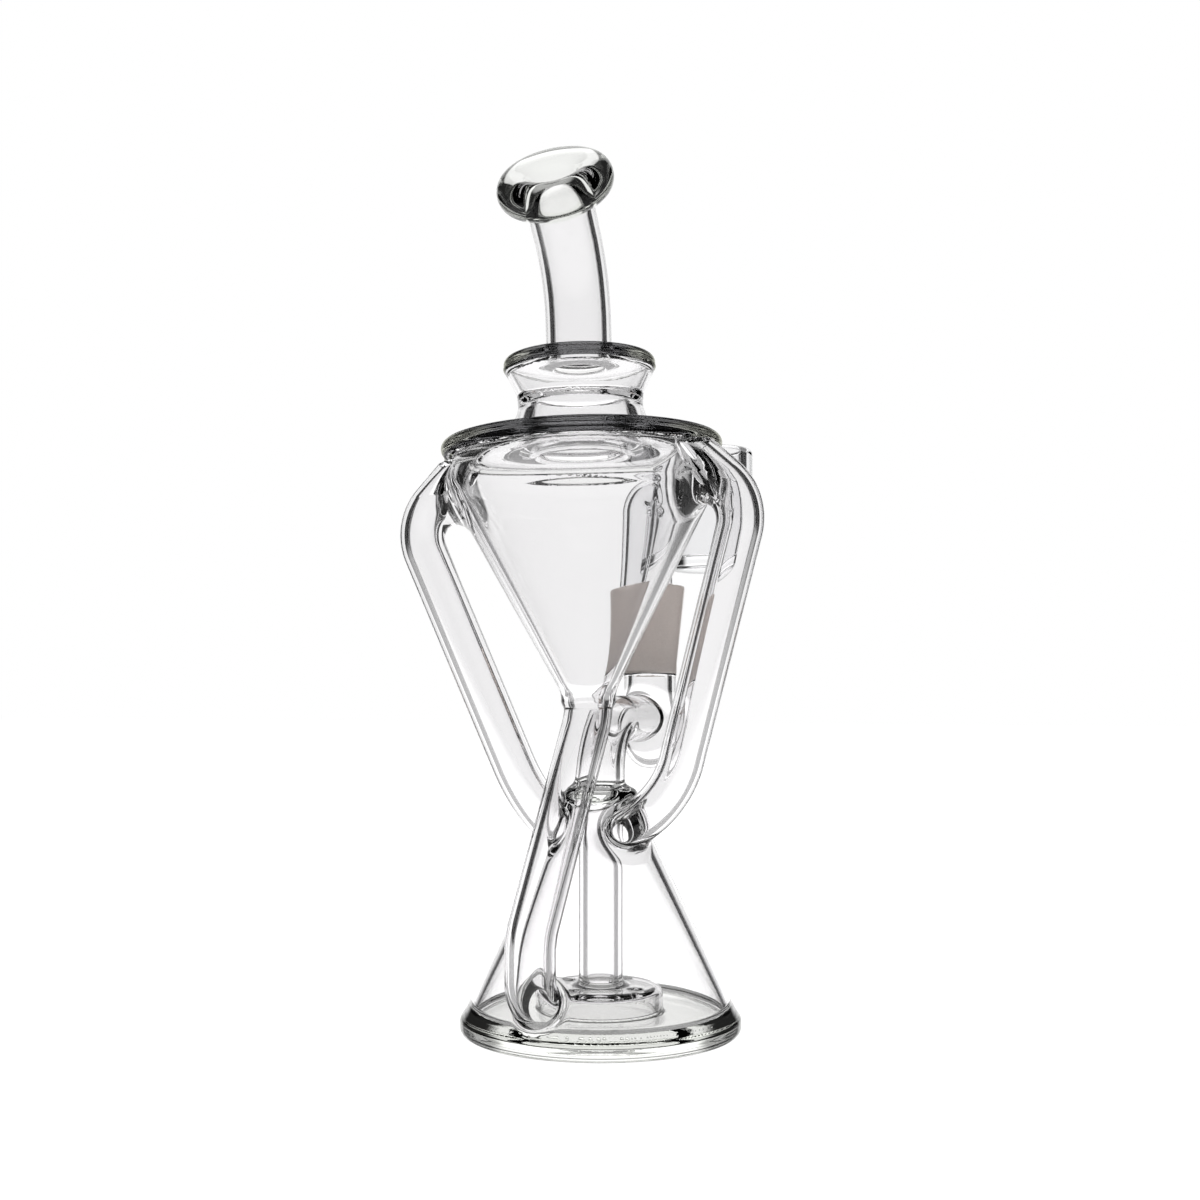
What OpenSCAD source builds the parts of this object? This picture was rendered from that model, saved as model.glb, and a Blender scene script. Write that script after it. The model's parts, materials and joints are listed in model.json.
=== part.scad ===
/* [Foot and base cone] */
// Largest radius of the foot
foot_r = 25.3; // [22:0.1:29]
// Thickness of the foot, which is also the base floor
foot_t = 3.8; // [2.5:0.1:5]
// Radius of the rounded edge of the foot
foot_edge_r = 1.6; // [1:0.1:1.9]
// Outside radius of the base cone where it stands on the foot
base_r = 24.5; // [22:0.1:25]
// Outside radius of the base cone at its top
base_top_r = 6.35; // [6:0.05:8]
// Height of the base cone's top above the table
base_top_z = 41; // [36:0.5:46]
// Wall of both cones, measured level
cone_wall = 2; // [1.4:0.1:2.4]

/* [Downstem] */
// Outside radius of the downstem and of the uptake arms
tube_r = 4; // [3.5:0.1:4.2]
// Wall of all the small tubing
tube_wall = 1.4; // [1:0.1:1.6]
// Outside radius of the weld ring that seals the downstem into the base cone
seal_r = 6.7; // [6.4:0.1:7.2]
// Height of that weld ring
seal_h = 2.8; // [2:0.1:3.2]
// Outside radius of the diffuser puck at its shoulder
puck_r = 11.2; // [9:0.1:13]
// Height of the diffuser puck's top above the table
puck_top_z = 8.2; // [7.4:0.1:10]
// Wall of the diffuser puck
puck_wall = 1.3; // [1:0.1:1.6]
// Number of holes in the diffuser puck
puck_holes = 4; // [3:1:8]
// Radius of each hole in the diffuser puck
puck_hole_r = 1.2; // [0.8:0.1:1.4]

/* [Ground joint] */
// Distance from the foot's axis back to the ground joint's axis
joint_y = 26; // [25:0.5:30]
// Largest radius of the socket's ground bore
socket_bore_r = 5; // [5:0.1:5.2]
// Length of the ground socket
socket_len = 17.2; // [16:0.1:18]
// Height of the socket's mouth above the table
socket_top_z = 82; // [80:0.5:84]
// Outside radius of the socket's mouth
socket_top_r = 6.9; // [6.6:0.1:7.4]
// Outside radius of the joint's lower tube
joint_r = 5.1; // [5:0.1:5.4]
// Gap between the two ground surfaces, on the radius
ground_gap = 0.05; // [0.02:0.01:0.1]
// Height of the lower end of the joint's tube above the table
joint_low_z = 46; // [44:0.5:47]
// Outside radius of the elbow between the downstem and the joint
elbow_r = 4.35; // [4.2:0.05:4.6]
// Height of the elbow's level run above the table
elbow_z = 56; // [55:0.5:57]

/* [Upper chamber] */
// How far the upper chamber is set forward of the foot's axis
upper_shift = 5.8; // [5:0.1:6.5]
// Sideways lean of the upper chamber, in degrees
upper_lean = 1.7; // [0:0.1:3]
// Height of the funnel's outlet above the table
funnel_low_z = 60; // [60:0.5:61]
// Radius and height of the middle of the funnel's rounded shoulder
shoulder_at = [15.9, 99]; // [14:0.1:100]
// Radius of the shoulder's outer curve and of its inner curve
shoulder_bends = [8, 5.4]; // [4:0.1:9]
// Height of the funnel's top edge above the table
funnel_top_z = 103.2; // [102:0.1:104]
// Radius of the rim disc
rim_r = 25.1; // [24:0.1:26]
// Thickness of the rim disc
rim_t = 2.8; // [2.4:0.1:3.2]
// Radius of the opening through the rim disc
rim_bore_r = 7.6; // [7:0.1:10.5]
// Radius of the collar at its foot, its waist and its shoulder
collar_radii = [13.2, 10.8, 13.6]; // [10:0.1:14]
// Height of the collar's waist and of its shoulder above the rim disc
collar_heights = [6.9, 12.4]; // [4:0.1:14]
// Wall of the collar above its waist
collar_wall = 1.6; // [1.2:0.1:2]
// Radius of the bore through the thick part of the collar, at its foot and at its waist
collar_bores = [9.6, 8]; // [7:0.1:11]
// Thickness of the disc that closes the collar
cap_t = 2.5; // [2:0.1:3]

/* [Mouthpiece] */
// Outside radius of the neck tube
neck_r = 5.9; // [5.5:0.1:6.5]
// Wall of the neck tube
neck_wall = 1.5; // [1.2:0.1:2]
// Length of the neck tube's straight foot
neck_foot = 6.4; // [4:0.1:8]
// Radius of the neck tube's bend
neck_bend_r = 20; // [16:0.5:24]
// Angle through which the neck tube bends forward
neck_turn = 44; // [30:1:60]
// Direction the neck tube bends to, in degrees from straight ahead
neck_heading = 7; // [0:1:20]
// Length of the neck tube beyond its bend, up to the middle of the lip
neck_reach = 10; // [8:0.1:12]
// Radius of the ring at the middle of the mouthpiece lip
lip_ring_r = 7; // [6.6:0.1:7.2]
// Radius of the mouthpiece lip's section
lip_r = 3.3; // [3.2:0.1:3.8]

/* [Recycler tubes] */
// Distance of each arm's top corner from the middle plane
arm_top_x = 31.7; // [30:0.1:33]
// Height of each arm's top corner above the table
arm_top_z = 92.3; // [90:0.1:94]
// Distance of each arm's low corner from the middle plane
arm_low_x = 13.8; // [13:0.1:15]
// Height of each arm's low corner above the table
arm_low_z = 41.5; // [41:0.1:43]
// Outside radius of the drain tube
drain_r = 4.3; // [4:0.1:4.5]
// Distance from the foot's axis out to the drain tube's lower run
drain_out = 24.9; // [24.5:0.1:26]
// Direction of the drain tube's lower end, in degrees from straight ahead
drain_heading = -6; // [-12:1:0]
// Height of the drain tube's inlet to the base above the table
drain_low_z = 8; // [7.6:0.1:9]

/* [Banger] */
// Outside radius of the banger's neck
banger_neck_r = 4.4; // [4:0.1:4.6]
// Bore radius of the banger's neck
banger_bore_r = 2.9; // [2.5:0.1:3.1]
// Height of the banger neck's level run above the table
banger_neck_z = 101.7; // [100:0.1:103]
// Distance between the ground joint's axis and the bucket's axis
banger_reach = 19; // [18:0.1:22]
// Direction of the bucket, in degrees from straight back
banger_heading = 22; // [-60:1:60]
// Outside radius of the bucket
bucket_r = 8.5; // [8:0.1:10]
// Wall of the bucket
bucket_wall = 2.3; // [1.8:0.1:2.5]
// Height of the bucket's underside above the table
bucket_low_z = 86.2; // [84:0.1:87]
// Overall height of the bucket
bucket_h = 25.1; // [22:0.1:28]
// Thickness of the bucket's floor
floor_t = 2.5; // [2:0.1:4]

/* [Hidden] */
$fn = 96;
eps = 0.01;
tube_bore_r = tube_r - tube_wall;
elbow_bore_r = elbow_r - tube_wall;
joint_bore_r = joint_r - tube_wall;
drain_bore_r = drain_r - tube_wall;
neck_bore_r = neck_r - neck_wall;
seal_top_z = base_top_z + seal_h;
elbow_bend_r = 9;
drain_bend_r = 12;
drain_inlet_bend_r = 5;
drain_bead_r = 0.8;
drain_knee_z = 20;
drain_lead = 3;
drain_inlet_share = 0.78;
socket_low_z = socket_top_z - socket_len;
ground_taper = 0.05;
socket_low_bore_r = socket_bore_r - ground_taper * socket_len;
ground_end_rise = 1.2;
rim_top_z = funnel_top_z + rim_t;
cap_low_z = rim_top_z + collar_heights[1];
cap_top_z = cap_low_z + cap_t;
arm_depths = [-4.75, 3.7, 0.2];
arm_top_run = 10.4;
arm_top_slope = 0.94;
arm_end = [6.1, 36.5];
arm_bends = [8.4, 17];
banger_bend_r = 5.2;
bucket_edge_r = 1;
puck_shoulder_r = 1.6;
puck_skirt = 1.4;
puck_hole_turn = -15;
clear_of_all = 60;
shoulder_steps = 12;
bend_overlap = 0.1;
bend_swell = 0.02;

function unit(v) = v / norm(v);
function heading(angle) = [sin(angle), -cos(angle), 0];

// Angle between the two legs that meet at corner i of a path.
function turn_at(path, i) =
    acos(unit(path[i] - path[i - 1]) * unit(path[i + 1] - path[i]));

// Length of leg that the bend of radius r takes up on each side of corner i.
function taken(path, bends, i) =
    i == 0 || i == len(path) - 1 ? 0 : bends[i - 1] * tan(turn_at(path, i) / 2);

// Places its children with their x and z axes along two perpendicular unit vectors.
module oriented(origin, x_axis, z_axis) {
    y_axis = cross(z_axis, x_axis);
    multmatrix([
        [x_axis[0], y_axis[0], z_axis[0], origin[0]],
        [x_axis[1], y_axis[1], z_axis[1], origin[1]],
        [x_axis[2], y_axis[2], z_axis[2], origin[2]],
        [0, 0, 0, 1]])
        children();
}

// A unit vector at right angles to v.
function across(v) = unit(abs(v[2]) > 0.9 ? cross(v, [0, 1, 0]) : cross(v, [0, 0, 1]));

// A round bar of radius r that follows a path, with a bend at each inner corner. The legs run a
// little way into the bends, which are a hair thicker, so that no two surfaces lie on each other.
module bar(path, bends, r) {
    for (i = [0 : len(path) - 2]) {
        along = unit(path[i + 1] - path[i]);
        low = taken(path, bends, i) - (i == 0 ? 0 : bend_overlap);
        high = taken(path, bends, i + 1) - (i == len(path) - 2 ? 0 : bend_overlap);
        oriented(path[i] + along * low, across(along), along)
            cylinder(h = norm(path[i + 1] - path[i]) - low - high, r = r);
    }
    for (i = [1 : len(path) - 2]) {
        inward = unit(path[i] - path[i - 1]);
        outward = unit(path[i + 1] - path[i]);
        start = path[i] - inward * taken(path, bends, i);
        side = unit(outward - inward * (outward * inward));
        oriented(start + side * bends[i - 1], -side, cross(-side, inward))
            rotate_extrude(angle = turn_at(path, i))
                translate([bends[i - 1], 0])
                    circle(r + bend_swell);
    }
}

// The upper chamber's own frame: set forward of the foot's axis and leaning to one side.
module upper() {
    translate([0, -upper_shift, funnel_low_z])
        rotate([0, -upper_lean, 0])
            translate([0, 0, -funnel_low_z])
                children();
}

// Path of an uptake arm in the upper chamber's frame: side is -1 on the left, 1 on the right.
function arm_path(side) = [
    [side * (arm_top_x - arm_top_run), arm_depths[0], arm_top_z + arm_top_slope * arm_top_run],
    [side * arm_top_x, arm_depths[0], arm_top_z],
    [side * arm_low_x, arm_depths[1], arm_low_z],
    [side * arm_end[0], arm_depths[2], arm_end[1]] ];

module arm_bar(side, r) {
    upper()
        bar(arm_path(side), arm_bends, r);
}

// Path of the drain tube from the funnel's outlet to inside the base cone.
drain_run = drain_out * heading(drain_heading);
drain_path = [
    [0, -upper_shift, funnel_low_z],
    [drain_lead * sin(upper_lean), -upper_shift, funnel_low_z - drain_lead * cos(upper_lean)],
    drain_run + [0, 0, drain_knee_z],
    drain_run + [0, 0, drain_low_z],
    drain_run * drain_inlet_share + [0, 0, drain_low_z] ];
drain_bends = [drain_bend_r, drain_bend_r, drain_inlet_bend_r];

// Path of the riser from the weld ring, round its elbow and back into the joint's tube.
elbow_path = [
    [0, 0, seal_top_z],
    [0, 0, elbow_z],
    [0, joint_y, elbow_z] ];

// Path of the banger's neck from the ground joint into the bucket.
bucket_at = [0, joint_y, 0] - banger_reach * heading(-banger_heading);
banger_path = [
    [0, joint_y, socket_top_z],
    [0, joint_y, banger_neck_z],
    bucket_at + [0, 0, banger_neck_z] ];

// Solid outline of the base cone, used to trim the tubes that are welded to it.
module base_cone_fill(shrink) {
    translate([0, 0, foot_t])
        cylinder(h = base_top_z - foot_t, r1 = base_r - shrink, r2 = base_top_r - shrink);
}

// One side of the funnel, from the outlet up a cone and round the shoulder to the rim disc.
function funnel_side(outlet_r, bend_r) =
    let (
        run = shoulder_at - [outlet_r, funnel_low_z],
        low = -atan2(run[0], run[1]) - asin(bend_r / norm(run)),
        high = asin((funnel_top_z - shoulder_at[1]) / bend_r))
    [ [outlet_r, funnel_low_z],
      for (i = [0:shoulder_steps])
          let (a = low + (high - low) * i / shoulder_steps)
          shoulder_at + bend_r * [cos(a), sin(a)] ];

// Solid outline of the funnel and rim disc, used the same way.
module funnel_fill() {
    upper()
        rotate_extrude() {
            polygon([[0, funnel_low_z], each funnel_side(drain_r, shoulder_bends[0]),
                [0, funnel_top_z]]);
            rim_profile(0);
        }
}

// Section of the rim disc, which is rounded at its edge and reaches in to the bore.
module rim_profile(bore) {
    edge = rim_t / 2;
    translate([rim_r - edge, funnel_top_z + edge])
        circle(edge);
    translate([bore, funnel_top_z])
        square([rim_r - edge - bore, rim_t]);
}

module foot_disc() {
    color([0.86, 0.88, 0.88])
        rotate_extrude() {
            square([foot_r - foot_edge_r, foot_t]);
            translate([foot_r - foot_edge_r, foot_edge_r])
                circle(foot_edge_r);
            polygon([[foot_r - foot_edge_r, foot_edge_r], [foot_r, foot_edge_r],
                [base_r, foot_t], [foot_r - foot_edge_r, foot_t]]);
        }
}

module base_cone() {
    color([0.9, 0.92, 0.92])
        difference() {
            base_cone_fill(0);
            base_cone_fill(cone_wall);
            for (side = [-1, 1])
                arm_bar(side, tube_bore_r);
            bar(drain_path, drain_bends, drain_bore_r);
        }
}

module neck_seal() {
    edge = seal_h / 2;
    color([0.55, 0.57, 0.56])
        rotate_extrude() {
            translate([tube_bore_r, base_top_z])
                square([seal_r - edge - tube_bore_r, seal_h]);
            translate([seal_r - edge, base_top_z + edge])
                circle(edge);
        }
}

module downstem() {
    color([0.88, 0.9, 0.9])
        translate([0, 0, puck_top_z])
            difference() {
                cylinder(h = base_top_z - puck_top_z, r = tube_r);
                cylinder(h = base_top_z - puck_top_z, r = tube_bore_r);
            }
}

module diffuser_puck() {
    low_z = puck_top_z - puck_shoulder_r;
    color([0.84, 0.86, 0.86])
        difference() {
            rotate_extrude()
                difference() {
                    union() {
                        translate([0, foot_t])
                            square([puck_r, low_z - foot_t]);
                        translate([0, foot_t])
                            square([puck_r - puck_shoulder_r, puck_top_z - foot_t]);
                        translate([puck_r - puck_shoulder_r, low_z])
                            circle(puck_shoulder_r);
                        polygon([[puck_r - eps, foot_t], [puck_r + puck_skirt, foot_t],
                            [puck_r - eps, foot_t + puck_skirt]]);
                    }
                    translate([0, foot_t])
                        square([puck_r - puck_wall, puck_top_z - puck_wall - foot_t]);
                    square([tube_bore_r, puck_top_z + eps]);
                }
            for (i = [0 : puck_holes - 1])
                rotate(i * 360 / puck_holes + puck_hole_turn)
                    translate([(tube_r + puck_r) / 2, 0, foot_t + puck_wall])
                        cylinder(h = puck_top_z, r = puck_hole_r);
        }
}

module joint_elbow() {
    color([0.88, 0.9, 0.9])
        difference() {
            bar(elbow_path, [elbow_bend_r], elbow_r);
            bar(elbow_path, [elbow_bend_r], elbow_bore_r);
            joint_fill(joint_r);
        }
}

// Solid tube with a round lower end, as the joint's lower tube has.
module joint_fill(r) {
    translate([0, joint_y, joint_low_z + joint_r]) {
        cylinder(h = socket_low_z - joint_low_z - joint_r, r = r);
        sphere(r);
    }
}

module joint_body() {
    color([0.88, 0.9, 0.9])
        difference() {
            joint_fill(joint_r);
            joint_fill(joint_bore_r);
            translate([0, joint_y - joint_r - eps, elbow_z])
                rotate([-90, 0, 0])
                    cylinder(h = joint_r, r = elbow_bore_r);
        }
}

module joint_socket() {
    color([0.65, 0.61, 0.59])
        translate([0, joint_y, socket_low_z])
            difference() {
                cylinder(h = socket_len, r1 = joint_r, r2 = socket_top_r);
                cylinder(h = socket_len, r1 = socket_low_bore_r, r2 = socket_bore_r);
            }
}

module upper_funnel() {
    inner = funnel_side(drain_bore_r, shoulder_bends[1]);
    color([0.9, 0.92, 0.92])
        difference() {
            upper()
                rotate_extrude()
                    polygon([each funnel_side(drain_r, shoulder_bends[0]),
                        for (i = [shoulder_steps + 1:-1:0]) inner[i]]);
            for (side = [-1, 1])
                arm_bar(side, tube_bore_r);
        }
}

module rim_disc() {
    color([0.55, 0.58, 0.55])
        upper()
            rotate_extrude()
                rim_profile(rim_bore_r);
}

module collar() {
    waist_z = rim_top_z + collar_heights[0];
    color([0.86, 0.88, 0.88])
        upper()
            rotate_extrude()
                polygon([
                    [collar_radii[0], rim_top_z],
                    [collar_radii[1], waist_z],
                    [collar_radii[2], cap_low_z],
                    [collar_radii[2] - collar_wall, cap_low_z],
                    [collar_radii[1] - collar_wall, waist_z],
                    [collar_bores[1], waist_z],
                    [collar_bores[0], rim_top_z]]);
}

module collar_cap() {
    edge = cap_t / 2;
    color([0.5, 0.53, 0.51])
        upper()
            rotate_extrude() {
                translate([neck_bore_r, cap_low_z])
                    square([collar_radii[2] - edge - neck_bore_r, cap_t]);
                translate([collar_radii[2] - edge, cap_low_z + edge])
                    circle(edge);
            }
}

// The neck's own frame stands on the collar cap, turned to the neck's heading.
module neck_frame() {
    upper()
        translate([0, 0, cap_top_z])
            rotate(neck_heading)
                children();
}

neck_corner_z = neck_foot + neck_bend_r * tan(neck_turn / 2);
neck_end = (neck_reach - lip_r + neck_bend_r * tan(neck_turn / 2))
    * [0, -sin(neck_turn), cos(neck_turn)];
neck_path = [[0, 0, 0], [0, 0, neck_corner_z], [0, 0, neck_corner_z] + neck_end];

module neck_tube() {
    color([0.9, 0.92, 0.92])
        neck_frame()
            difference() {
                bar(neck_path, [neck_bend_r], neck_r);
                bar(neck_path, [neck_bend_r], neck_bore_r);
            }
}

module mouthpiece() {
    color([0.8, 0.82, 0.81])
        neck_frame()
            translate(neck_path[2])
                rotate([neck_turn, 0, 0])
                    rotate_extrude() {
                        translate([lip_ring_r, lip_r])
                            circle(lip_r);
                        translate([neck_bore_r, 0])
                            square([neck_wall, lip_r]);
                    }
}

module uptake_arm(side) {
    color([0.88, 0.9, 0.9])
        difference() {
            arm_bar(side, tube_r);
            arm_bar(side, tube_bore_r);
            base_cone_fill(0);
            funnel_fill();
            upper()
                translate([0, 0, funnel_top_z + rim_t / 2])
                    cylinder(h = clear_of_all, r = clear_of_all);
        }
}

module uptake_arm_left() {
    uptake_arm(-1);
}

module uptake_arm_right() {
    uptake_arm(1);
}

module drain_tube() {
    color([0.88, 0.9, 0.9])
        difference() {
            union() {
                bar(drain_path, drain_bends, drain_r);
                upper()
                    rotate_extrude()
                        translate([drain_r - bend_overlap, funnel_low_z - drain_bead_r])
                            circle(drain_bead_r);
            }
            bar(drain_path, drain_bends, drain_bore_r);
            base_cone_fill(0);
            cylinder(h = foot_t, r = clear_of_all);
        }
}

module banger_ground_joint() {
    low_z = socket_low_z + ground_end_rise;
    length = socket_top_z - low_z;
    top_r = socket_bore_r - ground_gap;
    color([0.7, 0.67, 0.65])
        translate([0, joint_y, low_z])
            difference() {
                cylinder(h = length, r1 = top_r - ground_taper * length, r2 = top_r);
                cylinder(h = length, r = banger_bore_r);
            }
}

module bucket_fill() {
    translate(bucket_at + [0, 0, bucket_low_z])
        cylinder(h = bucket_h, r = bucket_r);
}

module banger_neck() {
    color([0.9, 0.91, 0.92])
        difference() {
            bar(banger_path, [banger_bend_r], banger_neck_r);
            bar(banger_path, [banger_bend_r], banger_bore_r);
            bucket_fill();
        }
}

module banger_bucket() {
    lip = bucket_wall / 2;
    color([0.9, 0.91, 0.92])
        difference() {
            translate(bucket_at + [0, 0, bucket_low_z])
                rotate_extrude() {
                    translate([bucket_r - bucket_wall, floor_t])
                        square([bucket_wall, bucket_h - floor_t - lip]);
                    translate([bucket_r - lip, bucket_h - lip])
                        circle(lip);
                }
            bar(banger_path, [banger_bend_r], banger_bore_r);
        }
}

module banger_floor() {
    color([0.85, 0.86, 0.87])
        translate(bucket_at + [0, 0, bucket_low_z])
            rotate_extrude() {
                translate([0, bucket_edge_r])
                    square([bucket_r, floor_t - bucket_edge_r]);
                square([bucket_r - bucket_edge_r, floor_t]);
                translate([bucket_r - bucket_edge_r, bucket_edge_r])
                    circle(bucket_edge_r);
            }
}

foot_disc();
base_cone();
neck_seal();
downstem();
diffuser_puck();
joint_elbow();
joint_body();
joint_socket();
upper_funnel();
rim_disc();
collar();
collar_cap();
neck_tube();
mouthpiece();
uptake_arm_left();
uptake_arm_right();
drain_tube();
banger_ground_joint();
banger_neck();
banger_bucket();
banger_floor();
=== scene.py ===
"""A clear blown-glass recycler pipe with a quartz banger, lit against a pale backdrop.

The pipe is one body of fused glass, so its shape is one signed distance field: outer walls joined
with soft welds, less the hollows inside. Each piece is the part of that field inside its own
region, meshed as a closed skin. Lengths in the fields are in millimetres.
"""
import json
import math

import bpy
import numpy as np
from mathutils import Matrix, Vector


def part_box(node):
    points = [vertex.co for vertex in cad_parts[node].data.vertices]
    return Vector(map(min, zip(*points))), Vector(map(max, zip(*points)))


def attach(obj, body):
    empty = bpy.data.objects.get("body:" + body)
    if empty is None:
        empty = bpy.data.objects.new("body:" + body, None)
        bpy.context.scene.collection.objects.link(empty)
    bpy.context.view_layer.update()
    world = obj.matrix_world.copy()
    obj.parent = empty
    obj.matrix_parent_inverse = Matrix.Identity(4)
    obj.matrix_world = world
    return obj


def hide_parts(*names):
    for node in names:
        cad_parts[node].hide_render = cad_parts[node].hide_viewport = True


MM = 0.001

# Grid steps of the skins, in millimetres.
FINE, MEDIUM, COARSE = 0.3, 0.36, 0.42
PROJECT_STEPS = 4

# Soft weld radii. The crook is the wide weld where an arm meets the funnel.
EDGE, SOFT, WELD, FLARE, CROOK = 0.5, 0.7, 1.6, 3.0, 8.0
# How far a piece's region reaches past its own plain wall, into its welds.
WELD_REACH = 1.2

# Walls and the radii of tubes and bores.
CONE_WALL = 2.0
TUBE_R = 4.0
TUBE_BORE = 2.6
ELBOW_BORE = 2.95
JOINT_BORE = 3.7
DRAIN_BORE = 2.9
NECK_BORE = 4.4
GROUND_TAPER = 0.05
SOCKET_BORE = 5.0
BANGER_BORE = 2.9
BUCKET_WALL = 2.3
FAR = 1e3


# ---------------------------------------------------------------- fields

def soft_min(a, b, k):
    """The lesser of two fields, with the crease between them filled to about radius k."""
    near = np.clip(k - np.abs(a - b), 0, None) / k
    return np.minimum(a, b) - near * near * k / 4


def soft_max(a, b, k):
    return -soft_min(-a, -b, k)


def outline(r, z, corners, round_r=0.0):
    """Signed distance to a closed outline in the r-z plane, grown by round_r."""
    nearest = np.full(r.shape, FAR * FAR)
    inside = np.zeros(r.shape, bool)
    for (ar, az), (br, bz) in zip(corners, corners[1:] + corners[:1]):
        er, ez = br - ar, bz - az
        wr, wz = r - ar, z - az
        t = np.clip((wr * er + wz * ez) / (er * er + ez * ez), 0, 1)
        nearest = np.minimum(nearest, (wr - er * t) ** 2 + (wz - ez * t) ** 2)
        if ez:
            inside ^= ((az > z) != (bz > z)) & (r < ar + wz * er / ez)
    return np.where(inside, -1, 1) * np.sqrt(nearest) - round_r


def lathe(p, corners, round_r=0.0, at=(0, 0)):
    """A solid turned about an upright axis."""
    return outline(np.hypot(p[:, 0] - at[0], p[:, 1] - at[1]), p[:, 2], corners, round_r)


def rod(r, low, high):
    """Corners of a plain round rod. A corner at a negative radius keeps the axis inside it."""
    return [(-1, low), (r, low), (r, high), (-1, high)]


def ring(p, ring_r, section_r, z, at=(0, 0)):
    return np.hypot(np.hypot(p[:, 0] - at[0], p[:, 1] - at[1]) - ring_r, p[:, 2] - z) - section_r


def unit(v):
    return v / np.linalg.norm(v)


class Path:
    """The middle line of a bent tube: straight legs with a round bend at each inner corner."""

    def __init__(self, corners, bends):
        corners = [np.array(c, float) for c in corners]
        self.legs, self.arcs = [], []
        start = corners[0]
        for before, corner, after, radius in zip(corners, corners[1:], corners[2:], bends):
            inward, outward = unit(corner - before), unit(after - corner)
            turn = math.acos(inward @ outward)
            reach = radius * math.tan(turn / 2)
            arc_start = corner - inward * reach
            self.legs.append((start, arc_start))
            side = unit(outward - inward * (outward @ inward))
            self.arcs.append((arc_start + side * radius, -side, inward, radius, turn))
            start = corner + outward * reach
        self.legs.append((start, corners[-1]))

    def distance(self, p):
        best = np.full(len(p), FAR)
        for a, b in self.legs:
            along = b - a
            t = np.clip((p - a) @ along / (along @ along), 0, 1)
            best = np.minimum(best, np.linalg.norm(p - a - t[:, None] * along, axis=1))
        for centre, out, ahead, radius, turn in self.arcs:
            q = p - centre
            u, v, w = q @ out, q @ ahead, q @ np.cross(out, ahead)
            angle = np.arctan2(v, u)
            gap = np.hypot(np.hypot(u, v) - radius, w)
            best = np.where((angle > 0) & (angle < turn), np.minimum(best, gap), best)
        return best


def turned(p, axis, degrees):
    """Points seen from a frame turned by an angle about a main axis."""
    c, s = math.cos(math.radians(degrees)), math.sin(math.radians(degrees))
    i, j = (axis + 1) % 3, (axis + 2) % 3
    q = p.copy()
    q[:, i] = c * p[:, i] + s * p[:, j]
    q[:, j] = c * p[:, j] - s * p[:, i]
    return q


# ---------------------------------------------------------------- sizes from the CAD boxes

def corners_mm(node):
    low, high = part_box(node)
    return np.array(low) / MM, np.array(high) / MM


def half_width(node):
    low, high = corners_mm(node)
    return (high[0] - low[0]) / 2


def middle(node):
    low, high = corners_mm(node)
    return tuple((low + high)[:2] / 2)


def top(node):
    return corners_mm(node)[1][2]


def bottom(node):
    return corners_mm(node)[0][2]


# ---------------------------------------------------------------- the glass

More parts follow.
